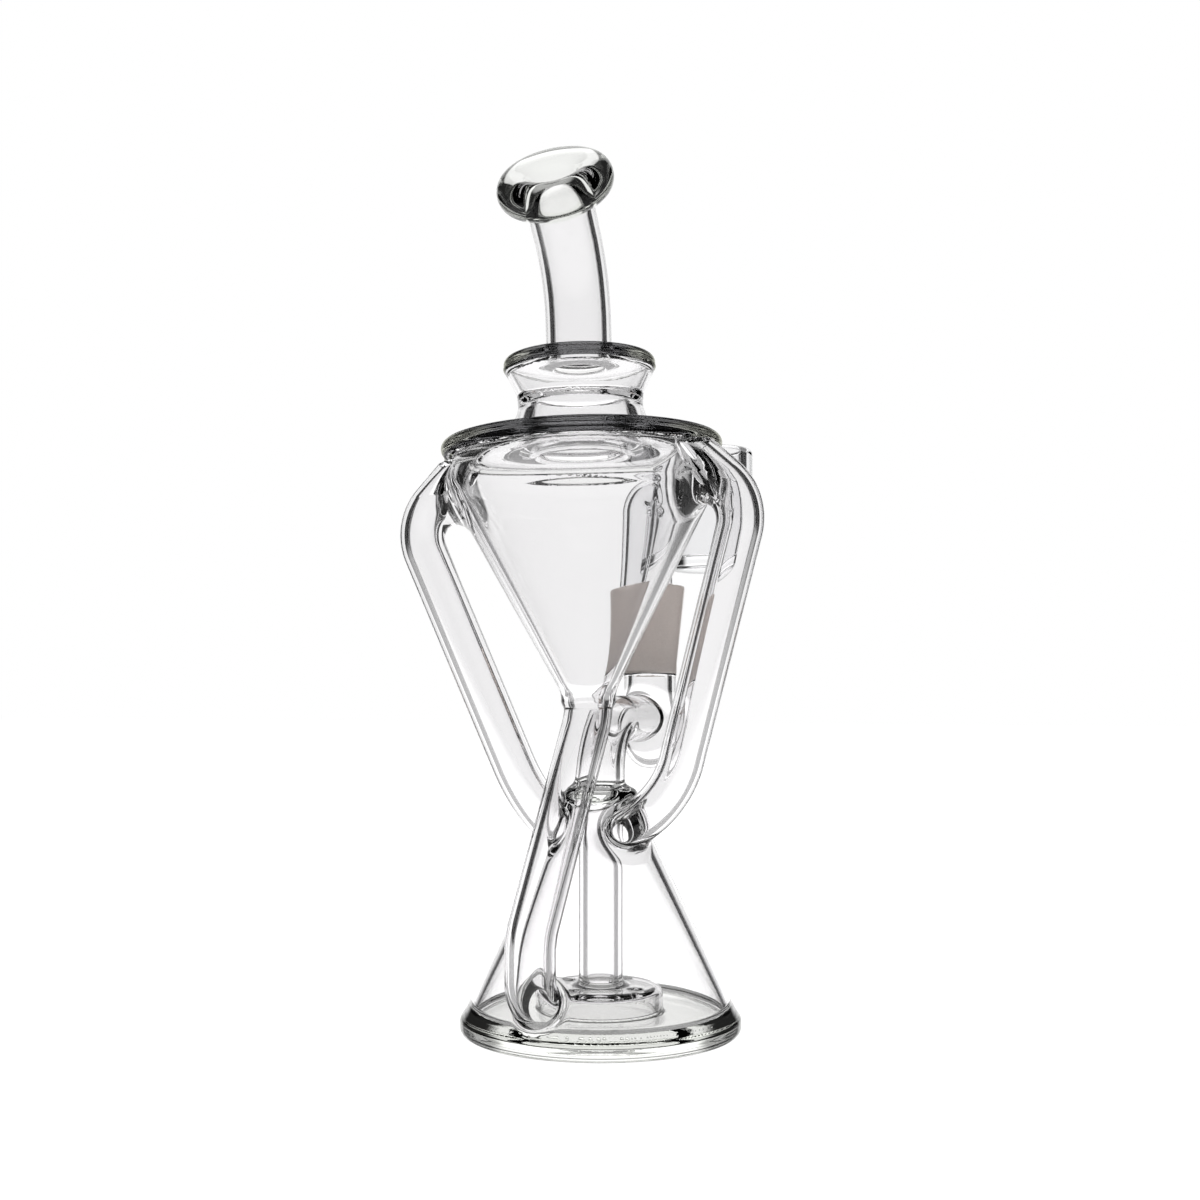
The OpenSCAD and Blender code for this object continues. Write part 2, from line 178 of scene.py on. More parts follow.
class Lower:
    """Foot, base cone, downstem, puck, riser and ground joint, in the row frame."""

    cone_top_r, puck_r, shoulder, puck_wall = 6.35, 11.2, 1.6, 1.3
    holes, hole_r, hole_turn = 4, 1.2, -15

    def __init__(self):
        self.foot_r, self.foot_top = half_width("foot_disc"), top("foot_disc")
        self.cone_r, self.cone_top = half_width("base_cone"), top("base_cone")
        self.slope = (self.cone_r - self.cone_top_r) / (self.cone_top - self.foot_top)
        self.seal_r, self.seal_top = half_width("neck_seal"), top("neck_seal")
        self.puck_top = top("diffuser_puck")
        self.joint = middle("joint_socket")
        self.joint_r, self.joint_low = half_width("joint_body"), bottom("joint_body")
        self.socket_low, self.socket_top = bottom("joint_socket"), top("joint_socket")
        self.socket_r = half_width("joint_socket")
        self.elbow_r = half_width("joint_elbow")
        elbow_z = top("joint_elbow") - self.elbow_r
        self.elbow = Path([(0, 0, self.cone_top - 2), (0, 0, elbow_z),
                           (0, self.joint[1], elbow_z)], [9.0])

    def cone(self, p):
        return lathe(p, [(-1, self.foot_top), (self.cone_r, self.foot_top),
                         (self.cone_top_r, self.cone_top), (-1, self.cone_top)])

    def walls(self, p):
        inset = 1.5
        foot = lathe(p, rod(self.foot_r - inset, inset, self.foot_top - inset), inset)
        body = soft_min(foot, self.cone(p), SOFT)
        section = (self.seal_top - self.cone_top) / 2
        seal = soft_min(ring(p, self.seal_r - section, section, self.cone_top + section),
                        lathe(p, rod(self.seal_r - section, self.cone_top - 1, self.seal_top)),
                        EDGE)
        return soft_min(body, seal, SOFT)

    def riser(self, p):
        tube = np.maximum(self.elbow.distance(p) - self.elbow_r, self.cone_top - p[:, 2])
        return soft_min(tube, self.joint_wall(p), FLARE)

    def joint_tube(self, p, r):
        round_end = self.joint_low + self.joint_r
        return lathe(p, rod(0.01, round_end, self.socket_low), r, self.joint)

    def joint_wall(self, p):
        """The joint's tube with its round end, and the flared socket above it."""
        socket = lathe(p, [(-1, self.socket_low), (self.joint_r - EDGE, self.socket_low),
                           (self.socket_r - EDGE, self.socket_top - EDGE),
                           (-1, self.socket_top - EDGE)], EDGE, self.joint)
        return soft_min(self.joint_tube(p, self.joint_r), socket, SOFT)

    def stem(self, p):
        tube = lathe(p, rod(TUBE_R, self.foot_top + 1, self.cone_top + 1))
        puck = lathe(p, rod(self.puck_r - self.shoulder, self.foot_top - 2,
                            self.puck_top - self.shoulder), self.shoulder)
        return soft_min(tube, puck, WELD)

    def cavity(self, p):
        """The room inside the base cone, which the stem stands in."""
        inset, closed = 1.0, 2.2
        lean = inset * math.hypot(1, self.slope)
        tip_r = self.cone_top_r - CONE_WALL + closed * self.slope - lean
        return lathe(p, [(-1, self.foot_top + inset),
                         (self.cone_r - CONE_WALL - inset * self.slope - lean,
                          self.foot_top + inset),
                         (tip_r, self.cone_top - closed), (-1, self.cone_top - closed)], inset)

    def airway(self, p):
        """The way down the socket, round the elbow, down the stem and out of the puck."""
        wall, edge = self.puck_wall, 0.4
        low = self.foot_top
        air = lathe(p, rod(self.puck_r - wall - edge, low + edge, self.puck_top - wall - edge), edge)
        air = soft_min(air, lathe(p, rod(TUBE_BORE, low + 1, self.seal_top + 1)), SOFT)
        for i in range(self.holes):
            a = math.radians(360 * i / self.holes + self.hole_turn)
            out = (TUBE_R + self.puck_r) / 2
            hole = lathe(p, rod(self.hole_r, low + wall, self.puck_top + 1), 0,
                         (out * math.cos(a), out * math.sin(a)))
            air = soft_min(air, hole, edge)
        riser = np.maximum(self.elbow.distance(p) - ELBOW_BORE, self.cone_top + 1 - p[:, 2])
        air = soft_min(air, np.maximum(riser, p[:, 1] - self.joint[1]), EDGE)
        length = self.socket_top - self.socket_low
        socket = lathe(p, [(-1, self.socket_low),
                           (SOCKET_BORE - GROUND_TAPER * length, self.socket_low),
                           (SOCKET_BORE, self.socket_top), (SOCKET_BORE, self.socket_top + 5),
                           (-1, self.socket_top + 5)], 0, self.joint)
        return soft_min(air, soft_min(self.joint_tube(p, JOINT_BORE), socket, edge), SOFT)


class Upper:
    """Funnel, rim, collar, neck and lip, in a frame set forward and leaning to one side."""

    shift, lean, pivot = 5.8, 1.7, 60.0
    funnel_top, rim_top, rim_r, outlet_r = 103.2, 106.0, 25.1, 4.3
    shoulder, shoulder_bends, rim_bore = (15.9, 99.0), (8.0, 5.4), 7.6
    collar = ((13.2, 106.0), (10.8, 112.9), (13.6, 118.4))
    collar_wall, collar_bores, cap_top = 1.6, (9.6, 8.0), 120.9
    neck_r, neck_heading, neck_turn, neck_bend, neck_foot, neck_reach = 5.9, 7, 44, 20.0, 6.4, 10.0
    lip_ring, lip_r, mouth_r = 7.0, 3.3, 3.95

    def __init__(self):
        a = math.radians(self.neck_turn)
        reach = self.neck_bend * math.tan(a / 2)
        corner = np.array([0, 0, self.neck_foot + reach])
        along = np.array([0, -math.sin(a), math.cos(a)])
        self.lip_at = corner + (self.neck_reach + reach) * along
        self.neck = Path([(0, 0, -3), corner, self.lip_at + 2 * along], [self.neck_bend])

    def local(self, p):
        return turned(p - (0, -self.shift, self.pivot), 1, -self.lean) + (0, 0, self.pivot)

    def neck_local(self, q):
        return turned(q - (0, 0, self.cap_top), 2, self.neck_heading)

    def lip_local(self, q):
        """Points in the lip's own frame, whose z runs out along the neck."""
        return turned(self.neck_local(q) - self.lip_at, 0, self.neck_turn)

    def lip(self, q):
        return ring(self.lip_local(q), self.lip_ring, self.lip_r, 0)

    def neck_tube(self, q, r, below):
        n = self.neck_local(q)
        return np.maximum(self.neck.distance(n) - r, -n[:, 2] - below)

    def bulb(self, q, foot_r, bend, deeper=0):
        """A cone that rounds over at its top, cut deeper than the outlet to open it."""
        run_r, run_z = self.shoulder[0] - foot_r, self.shoulder[1] - self.pivot
        lean = math.atan2(run_r, run_z) + math.asin(bend / math.hypot(run_r, run_z))
        mid_r, mid_z = self.shoulder
        cone = lathe(q, [(-1, self.pivot - deeper),
                         (foot_r - deeper * math.tan(lean), self.pivot - deeper),
                         (mid_r + bend * math.cos(lean), mid_z - bend * math.sin(lean)),
                         (mid_r, mid_z), (mid_r, mid_z + bend), (-1, mid_z + bend)])
        return np.minimum(cone, ring(q, mid_r, bend, mid_z))

    def funnel(self, q):
        return np.maximum(self.bulb(q, self.outlet_r, self.shoulder_bends[0]),
                          q[:, 2] - self.funnel_top - 1)

    def walls(self, q):
        edge = (self.rim_top - self.funnel_top) / 2
        disc = soft_min(ring(q, self.rim_r - edge, edge, self.funnel_top + edge),
                        lathe(q, rod(self.rim_r - edge, self.funnel_top, self.rim_top)), 0.2)
        body = soft_min(self.funnel(q), disc, EDGE)
        (foot_r, foot_z), (waist_r, waist_z), (head_r, head_z) = self.collar
        collar = soft_min(lathe(q, [(-1, foot_z - 1), (foot_r, foot_z - 1), (foot_r, foot_z),
                                    (waist_r, waist_z), (-1, waist_z)]),
                          lathe(q, [(-1, waist_z), (waist_r, waist_z),
                                    (head_r, head_z + EDGE), (-1, head_z + EDGE)]), WELD)
        body = soft_min(body, collar, WELD)
        edge = (self.cap_top - head_z) / 2
        cap = soft_min(ring(q, head_r - edge, edge, head_z + edge),
                       lathe(q, rod(head_r - edge, head_z, self.cap_top)), 0.2)
        body = soft_min(body, cap, SOFT)
        neck = np.maximum(self.neck_tube(q, self.neck_r, 1), self.lip_local(q)[:, 2])
        return soft_min(soft_min(body, neck, WELD), self.lip(q), WELD)

    def hollow(self, q):
        funnel = soft_max(self.bulb(q, DRAIN_BORE, self.shoulder_bends[1], deeper=3),
                          q[:, 2] - self.funnel_top, EDGE)
        foot_z, (waist_r, waist_z), (head_r, head_z) = self.rim_top, *self.collar[1:]
        hole = lathe(q, rod(self.rim_bore, self.funnel_top - 2, foot_z + 2))
        well = lathe(q, [(-1, foot_z + EDGE), (self.collar_bores[0], foot_z + EDGE),
                         (self.collar_bores[1], waist_z - EDGE),
                         (waist_r - self.collar_wall, waist_z + EDGE),
                         (head_r - self.collar_wall, head_z), (-1, head_z)])
        well = soft_min(well, hole, SOFT)
        above_neck = self.lip_local(q)[:, 2] + self.lip_r
        airway = soft_min(np.maximum(self.neck_tube(q, NECK_BORE, 6), above_neck),
                          self.neck_tube(q, self.mouth_r, 6), EDGE)
        return soft_min(soft_min(funnel, well, WELD), airway, EDGE)


class Recycler:
    """The two uptake arms and the drain, which join the upper chamber to the base."""

    drain_r, top_run, top_x, top_z = 4.3, 10.4, 31.7, 92.3
    low_corner, low_end, depth = (13.8, 3.7, 41.5), (6.1, 0.2, 36.5), -4.75
    drain_out, drain_heading, drain_knee, drain_low = 24.9, -6, 20, 8

    def __init__(self):
        self.arms = [Path([(s * (self.top_x - self.top_run), self.depth,
                            self.top_z + 0.94 * self.top_run),
                           (s * self.top_x, self.depth, self.top_z),
                           (s * self.low_corner[0],) + self.low_corner[1:],
                           (s * self.low_end[0],) + self.low_end[1:]], [8.4, 17.0])
                     for s in (-1, 1)]
        a, lean = math.radians(self.drain_heading), math.radians(Upper.lean)
        out = self.drain_out * np.array([math.sin(a), -math.cos(a), 0])
        lead = 3.0
        self.drain = Path([(0, -Upper.shift, Upper.pivot + 1),
                           (lead * math.sin(lean), -Upper.shift,
                            Upper.pivot - lead * math.cos(lean)),
                           out + (0, 0, self.drain_knee), out + (0, 0, self.drain_low),
                           0.78 * out + (0, 0, self.drain_low)], [12.0, 12.0, 5.0])

    def arm(self, q):
        """Distance to the nearer arm's middle line."""
        return np.minimum(self.arms[0].distance(q), self.arms[1].distance(q))


class Pipe:
    """The whole of the fused glass, and the region of it that each piece takes."""

    upper_from, lower_to, arms_to, drain_to = 57, 85, 105, 66
    weld_z, weld_k = (65, 85, 97, 102.5), (FLARE, CROOK, CROOK, SOFT)

    def __init__(self):
        self.lower, self.upper, self.tubes = Lower(), Upper(), Recycler()

    def glass(self, p):
        """The fused glass. Parts too far below or above the points are left out. The riser, the
        drain and the arms are each welded to the shells, and not to one another."""
        q = self.upper.local(p)
        low, high = p[:, 2].min(), p[:, 2].max()
        far = np.full(len(p), FAR)
        has_upper, has_lower = high > self.upper_from, low < self.lower_to
        arm = self.tubes.arm(q) if low < self.arms_to else far
        drain = self.tubes.drain.distance(p) if low < self.drain_to else far
        walls, hollow, stem, airway, riser = far, far, far, far, far
        if has_lower:
            walls, hollow, riser = self.lower.walls(p), self.lower.cavity(p), self.lower.riser(p)
            stem, airway = self.lower.stem(p), self.lower.airway(p)
        if has_upper:
            walls = np.minimum(walls, self.upper.walls(q))
            hollow = np.minimum(hollow, self.upper.hollow(q))
            outlet = ring(q, self.upper.outlet_r - 0.3, 0.8, self.upper.pivot - 0.8)
            drain_wall = soft_min(drain - self.tubes.drain_r, outlet, SOFT)
        else:
            drain_wall = drain - self.tubes.drain_r
        under_roof = q[:, 2] - self.upper.funnel_top
        arm_weld = np.interp(q[:, 2], self.weld_z, self.weld_k)
        walls = np.minimum.reduce([
            soft_min(walls, riser, WELD), soft_min(walls, drain_wall, WELD),
            soft_min(walls, np.maximum(arm - TUBE_R, under_roof), arm_weld)])
        hollow = soft_min(hollow, drain - DRAIN_BORE, SOFT)
        hollow = soft_min(hollow, np.maximum(arm - TUBE_BORE, under_roof + 1), SOFT)
        hollow = soft_max(hollow, -stem, SOFT)
        return soft_max(walls, -np.minimum(hollow, airway), EDGE)

    def regions(self):
        """Each piece's region, as a function that is negative inside it."""
        low, up = self.lower, self.upper
        lip_low = -up.lip_r - WELD_REACH

        def slab(z, bottom_z, top_z):
            return np.maximum(bottom_z - z, z - top_z)

        def stem_core(p):
            return np.hypot(p[:, 0], p[:, 1]) - TUBE_R - 0.35

        def puck_zone(p):
            return np.maximum(np.hypot(p[:, 0], p[:, 1]) - low.puck_r - 2.4,
                              p[:, 2] - low.puck_top - 1.4)

        def foot(p):
            return p[:, 2] - low.foot_top

        def puck(p):
            return np.maximum(-foot(p), puck_zone(p))

        def stem(p):
            return np.maximum.reduce([slab(p[:, 2], low.foot_top, low.cone_top),
                                      -puck_zone(p), stem_core(p)])

        def cone(p):
            return np.maximum.reduce([slab(p[:, 2], low.foot_top, low.cone_top),
                                      low.cone(p) - WELD_REACH,
                                      -np.minimum(puck_zone(p), stem_core(p))])

        def seal(p):
            return np.maximum(slab(p[:, 2], low.cone_top, low.seal_top),
                              np.hypot(p[:, 0], p[:, 1]) - low.seal_r - EDGE)

        def body(p):
            return np.maximum(low.joint_wall(p) - WELD_REACH, p[:, 2] - low.socket_low)

        def socket(p):
            return np.maximum(low.joint_wall(p) - WELD_REACH, low.socket_low - p[:, 2])

        def drain_gap(p):
            return self.tubes.drain.distance(p) - self.tubes.drain_r

        def elbow(p):
            gap = low.elbow.distance(p) - low.elbow_r
            return np.maximum.reduce([low.seal_top - p[:, 2], WELD_REACH - low.joint_wall(p),
                                      gap - FLARE, (gap - drain_gap(p)) / 2])

        def upper_slab(bottom_z, top_z, reach):
            def region(p):
                q = up.local(p)
                return np.maximum(slab(q[:, 2], bottom_z, top_z),
                                  np.hypot(q[:, 0], q[:, 1]) - reach)
            return region

        rim = upper_slab(up.funnel_top, up.rim_top, up.rim_r + 1)

        def funnel(p):
            q = up.local(p)
            return np.maximum(slab(q[:, 2], up.pivot, up.funnel_top), up.funnel(q) - WELD_REACH)

        def neck(p):
            q = up.local(p)
            return np.maximum(up.cap_top - q[:, 2], up.lip_local(q)[:, 2] - lip_low)

        def lip(p):
            m = up.lip_local(up.local(p))
            return np.maximum(lip_low - m[:, 2], np.linalg.norm(m, axis=1) - 3 * up.lip_r - 4)

        def others(p):
            return np.minimum.reduce([part(p) for part in (
                foot, puck, stem, cone, seal, elbow, body, funnel, rim)])

        def arm(side):
            def region(p):
                q = up.local(p)
                gap = self.tubes.arm(q) - TUBE_R
                return np.maximum.reduce([-side * q[:, 0], -others(p), q[:, 2] - up.funnel_top,
                                          gap - CROOK, (gap - drain_gap(p)) / 2])
            return region

        def drain(p):
            gap = drain_gap(p)
            arm_gap = self.tubes.arm(up.local(p)) - TUBE_R
            return np.maximum.reduce([-others(p), gap - FLARE, (gap - arm_gap) / 2])

        waist_top = up.collar[2][1]
        reach = up.collar[2][0] + FLARE
        return {
            "foot_disc": foot, "base_cone": cone, "neck_seal": seal, "downstem": stem,
            "diffuser_puck": puck, "joint_elbow": elbow, "joint_body": body,
            "joint_socket": socket, "upper_funnel": funnel, "rim_disc": rim,
            "collar": upper_slab(up.rim_top, waist_top, reach),
            "collar_cap": upper_slab(waist_top, up.cap_top, reach),
            "neck_tube": neck, "mouthpiece": lip, "uptake_arm_left": arm(-1),
            "uptake_arm_right": arm(1), "drain_tube": drain}


class Banger:
    """The quartz banger: a bucket on a bent neck, and the round ground joint it hangs from."""

    bend, neck_r, lip_round, floor_round = 5.2, 4.4, 1.0, 1.0

    def __init__(self):
        self.at = middle("banger_bucket")
        self.bucket_r = half_width("banger_floor")
        self.low, self.floor_top = bottom("banger_floor"), top("banger_floor")
        self.bucket_top = top("banger_bucket")
        self.joint = middle("banger_ground_joint")
        self.ground_low, self.ground_top = bottom("banger_ground_joint"), top("banger_ground_joint")
        self.ground_r = half_width("banger_ground_joint")
        level = top("banger_neck") - self.neck_r
        self.neck = Path([(*self.joint, self.ground_low - 8), (*self.joint, level),
                          (*self.at, level)], [self.bend])

    def bucket(self, p):
        low = lathe(p, rod(self.bucket_r - self.floor_round, self.low + self.floor_round,
                           self.floor_top + 3), self.floor_round, self.at)
        edge = self.lip_round
        high = lathe(p, rod(self.bucket_r - edge, self.floor_top, self.bucket_top - edge),
                     edge, self.at)
        return np.minimum(low, high)

    def glass(self, p):
        neck = np.maximum(self.neck.distance(p) - self.neck_r, self.ground_top - p[:, 2])
        length = self.ground_top - self.ground_low
        ground = lathe(p, [(-1, self.ground_low),
                           (self.ground_r - GROUND_TAPER * length, self.ground_low),
                           (self.ground_r, self.ground_top), (-1, self.ground_top)], 0, self.joint)
        walls = soft_min(soft_min(self.bucket(p), neck, WELD), ground, EDGE)
        bore = np.maximum(self.neck.distance(p) - BANGER_BORE,
                          -self.bucket(p) - BUCKET_WALL - 0.5)
        pot = lathe(p, rod(self.bucket_r - BUCKET_WALL - EDGE, self.floor_top + EDGE,
                           self.bucket_top + 5), EDGE, self.at)
        return soft_max(walls, -soft_min(bore, pot, EDGE), EDGE)

    def regions(self):
        def ground(p):
            return p[:, 2] - self.ground_top

        def floor(p):
            return np.maximum(p[:, 2] - self.floor_top, self.bucket(p) - 1)

        def pot(p):
            return np.maximum(self.floor_top - p[:, 2], self.bucket(p) - WELD_REACH)

        def neck(p):
            return np.maximum.reduce([self.ground_top - p[:, 2], -floor(p), -pot(p)])

        return {"banger_ground_joint": ground, "banger_floor": floor, "banger_bucket": pot,
                "banger_neck": neck}


# ---------------------------------------------------------------- skins

def sample(field, low, shape, step):
    """Field values on a grid. Only blocks that the surface can reach are worked out in full."""
    block = 4
    blocks = [-(-n // block) for n in shape]
    index = np.indices(blocks).reshape(3, -1).T
    rough = field(low + step * (index * block + (block - 1) / 2)).reshape(blocks)
    near = np.abs(rough) < step * (block + 1)
    for axis in range(3):
        rough, near = np.repeat(rough, block, axis), np.repeat(near, block, axis)
    window = tuple(slice(0, n) for n in shape)
    values, near = rough[window], near[window]
    values[near] = field(low + step * np.argwhere(near))
    return values


def crossings(glass, region, cells):
    """Where the surface cuts the twelve edges of each mixed cell: the sum of the cuts' places in
    the cell, how many there are, and how many of them lie on the region's boundary."""
    total, count, cuts = np.zeros((len(cells), 3)), np.zeros(len(cells)), np.zeros(len(cells))
    whole = np.maximum(glass, region)
    for axis in range(3):
        along = np.eye(3, dtype=int)[axis]
        for corner in range(4):
            offset = np.zeros(3, int)
            offset[(axis + 1) % 3], offset[(axis + 2) % 3] = corner % 2, corner // 2
            a, b = tuple((cells + offset).T), tuple((cells + offset + along).T)
            hit = (whole[a] < 0) != (whole[b] < 0)
            t = np.where(hit, whole[a] / np.where(hit, whole[a] - whole[b], 1), 0)
            total += np.where(hit[:, None], offset + t[:, None] * along, 0)
            count += hit
            cuts += hit & (between(region, a, b, t) > between(glass, a, b, t))
    return total, count, cuts


def between(values, a, b, t):
    return values[a] * (1 - t) + values[b] * t


def faces(glass, region, cell_index):
    """One quad for each grid edge that crosses the surface, wound outward, and whether it lies on
    the region's boundary."""
    whole = np.maximum(glass, region)
    quads, on_cut = [], []
    for axis in range(3):
        u, v = np.eye(3, dtype=int)[(axis + 1) % 3], np.eye(3, dtype=int)[(axis + 2) % 3]
        along = np.eye(3, dtype=int)[axis]
        inside = whole < 0
        changed = np.diff(inside.astype(np.int8), axis=axis) != 0
        a = np.argwhere(changed)
        first, second = tuple(a.T), tuple((a + along).T)
        t = whole[first] / (whole[first] - whole[second])
        on_cut.append(between(region, first, second, t) > between(glass, first, second, t))
        corner = [cell_index[tuple((a - shift).T)] for shift in (u + v, v, 0 * u, u)]
        quad = np.stack(corner, 1)
        leaving = inside[first]
        quads.append(np.where(leaving[:, None], quad, quad[:, ::-1]))
    return np.concatenate(quads), np.concatenate(on_cut)


def gradient(field, points, reach=0.01):
    """A field's value and slope, from small steps along each axis."""
    here = field(points)
    slope = np.stack([field(points + reach * axis) - here for axis in np.eye(3)], 1) / reach
    return here, slope


def settle(points, glass, region, kinds, step):
    """Moves each vertex onto the surface it belongs to, or onto the seam between two of them."""
    for _ in range(PROJECT_STEPS):
        g, dg = gradient(glass, points)
        r, dr = gradient(region, points)
        gg, rr, gr = (dg * dg).sum(1), (dr * dr).sum(1), (dg * dr).sum(1)
        det = np.maximum(gg * rr - gr * gr, 0.05)
        both = (((g * rr - r * gr) / det)[:, None] * dg + ((r * gg - g * gr) / det)[:, None] * dr)
        move = np.where((kinds == ON_GLASS)[:, None], (g / np.maximum(gg, 0.1))[:, None] * dg, both)
        move = np.where((kinds == ON_CUT)[:, None], (r / np.maximum(rr, 0.1))[:, None] * dr, move)
        length = np.linalg.norm(move, axis=1)
        points = points - move * np.minimum(1, step / 2 / np.maximum(length, 1e-9))[:, None]
    return points


def mend(glass, region, step):
    """Fills one corner wherever a grid square's corners are inside and outside by turns, so that
    no two parts of the skin share only an edge."""
    fill = -step / 50
    for _ in range(12):
        inside = np.maximum(glass, region) < 0
        spots = []
        for axis in range(3):
            u, v = np.eye(3, dtype=int)[(axis + 1) % 3], np.eye(3, dtype=int)[(axis + 2) % 3]
            a, b, c, d = (inside[tuple(slice(o, n - x - y + o) for o, n, x, y in
                                       zip(shift, inside.shape, u, v))]
                          for shift in (0 * u, u, v, u + v))
            spots.append(np.argwhere(a & d & ~b & ~c) + u)
            spots.append(np.argwhere(b & c & ~a & ~d))
        spots = np.concatenate(spots)
        if not len(spots):
            return
        at = tuple(spots.T)
        glass[at] = np.minimum(glass[at], fill)
        region[at] = np.minimum(region[at], fill)


def largest_part(points, quads, *face_data):
    """Drops crumbs: keeps the vertices and faces joined to most of the others."""
    label = np.arange(len(points))
    while True:
        lowest = label[quads].min(1)
        grown = label.copy()
        np.minimum.at(grown, quads, lowest[:, None])
        grown = grown[grown]
        if (grown == label).all():
            break
        label = grown
    names, counts = np.unique(label, return_counts=True)
    keep = label == names[counts.argmax()]
    kept_faces = keep[quads[:, 0]]
    renumber = np.cumsum(keep) - 1
    return keep, renumber[quads[kept_faces]], *(data[kept_faces] for data in face_data)


ON_GLASS, ON_CUT, ON_SEAM = range(3)


def skin(glass, region, low, high, step):
    """A closed skin round the glass inside a region: vertices, quads, normals and cut quads."""
    shape = tuple(np.ceil((high - low) / step).astype(int) + 5)
    low = low - 2 * step
    g = sample(glass, low, shape, step)
    r = region(low + step * np.indices(shape).reshape(3, -1).T).reshape(shape)
    for axis in range(3):
        edge = [slice(None)] * 3
        for side in (0, -1):
            edge[axis] = side
            r[tuple(edge)] = np.maximum(r[tuple(edge)], step / 2)
    mend(g, r, step)
    inside = (np.maximum(g, r) < 0).astype(np.int8)
    full = sum(inside[i:shape[0] - 1 + i, j:shape[1] - 1 + j, k:shape[2] - 1 + k]
               for i in (0, 1) for j in (0, 1) for k in (0, 1))
    cells = np.argwhere((full > 0) & (full < 8))
    cell_index = np.full(full.shape, -1)
    cell_index[tuple(cells.T)] = np.arange(len(cells))
    total, count, cuts = crossings(g, r, cells)
    kinds = np.where(cuts == 0, ON_GLASS, np.where(cuts == count, ON_CUT, ON_SEAM))
    points = low + step * (cells + total / count[:, None])
    quads, on_cut = faces(g, r, cell_index)
    keep, quads, on_cut = largest_part(points, quads, on_cut)
    points, kinds = points[keep], kinds[keep]
    points = settle(points, glass, region, kinds, step)
    normals = np.where((kinds == ON_CUT)[:, None], gradient(region, points)[1],
                       gradient(glass, points)[1])
    return points, quads, normals, on_cut


# ---------------------------------------------------------------- materials

THICK_TINT = (0.965, 0.968, 0.958)
# Painted shade on the rolled edge of thick discs, for camera rays only: dark where the edge faces the
# camera, a lighter painted olive towards its two ends.
EDGE_PAINTED_SHADE, EDGE_PAINTED_OLIVE = (0.17, 0.17, 0.175), (0.8, 0.81, 0.72)
# How far in from a disc's edge the painted edge shade reaches, in millimetres.
EDGE_SHADE_DEPTH = 1.1


def new_material(name):
    material = bpy.data.materials.new(name)
    material.use_nodes = True
    nodes, links = material.node_tree.nodes, material.node_tree.links
    nodes.clear()
    return material, nodes, links


def glass_material(name, tint, ior, roughness=0.0, shade=0.96, ripple=0.0):
    """Glass that lets light through to what stands behind it, instead of a hard black shadow."""
    material, nodes, links = new_material(name)
    out = nodes.new("ShaderNodeOutputMaterial")
    mix = nodes.new("ShaderNodeMixShader")
    rays = nodes.new("ShaderNodeLightPath")
    clear = nodes.new("ShaderNodeBsdfTransparent")
    clear.inputs["Color"].default_value = (shade, shade, shade, 1)
    glass = nodes.new("ShaderNodeBsdfGlass")
    glass.inputs["Color"].default_value = (*tint, 1)
    glass.inputs["IOR"].default_value = ior
    glass.inputs["Roughness"].default_value = roughness
    if ripple:
        place = nodes.new("ShaderNodeTexCoord")
        noise = nodes.new("ShaderNodeTexNoise")
        noise.inputs["Scale"].default_value = 110
        noise.inputs["Detail"].default_value = 1
        bump = nodes.new("ShaderNodeBump")
        bump.inputs["Distance"].default_value = ripple * MM
        links.new(place.outputs["Object"], noise.inputs["Vector"])
        links.new(noise.outputs["Fac"], bump.inputs["Height"])
        links.new(bump.outputs["Normal"], glass.inputs["Normal"])
    links.new(rays.outputs["Is Shadow Ray"], mix.inputs[0])
    links.new(glass.outputs[0], mix.inputs[1])
    links.new(clear.outputs[0], mix.inputs[2])
    links.new(mix.outputs[0], out.inputs["Surface"])
    return material


def fused_material():
    """For the boundary between two pieces of one fused glass, where light doesn't turn."""
    material, nodes, links = new_material("fused_boundary")
    out = nodes.new("ShaderNodeOutputMaterial")
    clear = nodes.new("ShaderNodeBsdfTransparent")
    links.new(clear.outputs[0], out.inputs["Surface"])
    return material


def ground_material():
    """Sand-blasted glass: a fine-grained warm grey that lets some light through."""
    material, nodes, links = new_material("ground_glass")
    out = nodes.new("ShaderNodeOutputMaterial")
    place = nodes.new("ShaderNodeTexCoord")
    grain = nodes.new("ShaderNodeTexNoise")
    grain.inputs["Scale"].default_value = 6000
    grain.inputs["Detail"].default_value = 2
    tone = nodes.new("ShaderNodeValToRGB")
    tone.color_ramp.elements[0].color = (0.41, 0.375, 0.358, 1)
    tone.color_ramp.elements[1].color = (0.67, 0.632, 0.61, 1)
    bump = nodes.new("ShaderNodeBump")
    bump.inputs["Distance"].default_value = 0.03 * MM
    matt = nodes.new("ShaderNodeBsdfDiffuse")
    through = nodes.new("ShaderNodeBsdfTranslucent")
    both = nodes.new("ShaderNodeMixShader")
    both.inputs[0].default_value = 0.55
    links.new(place.outputs["Object"], grain.inputs["Vector"])
    links.new(grain.outputs["Fac"], tone.inputs["Fac"])
    links.new(grain.outputs["Fac"], bump.inputs["Height"])
    for shader in (matt, through):
        links.new(tone.outputs["Color"], shader.inputs["Color"])
        links.new(bump.outputs["Normal"], shader.inputs["Normal"])
    links.new(matt.outputs[0], both.inputs[1])
    links.new(through.outputs[0], both.inputs[2])
    links.new(both.outputs[0], out.inputs["Surface"])
    return material


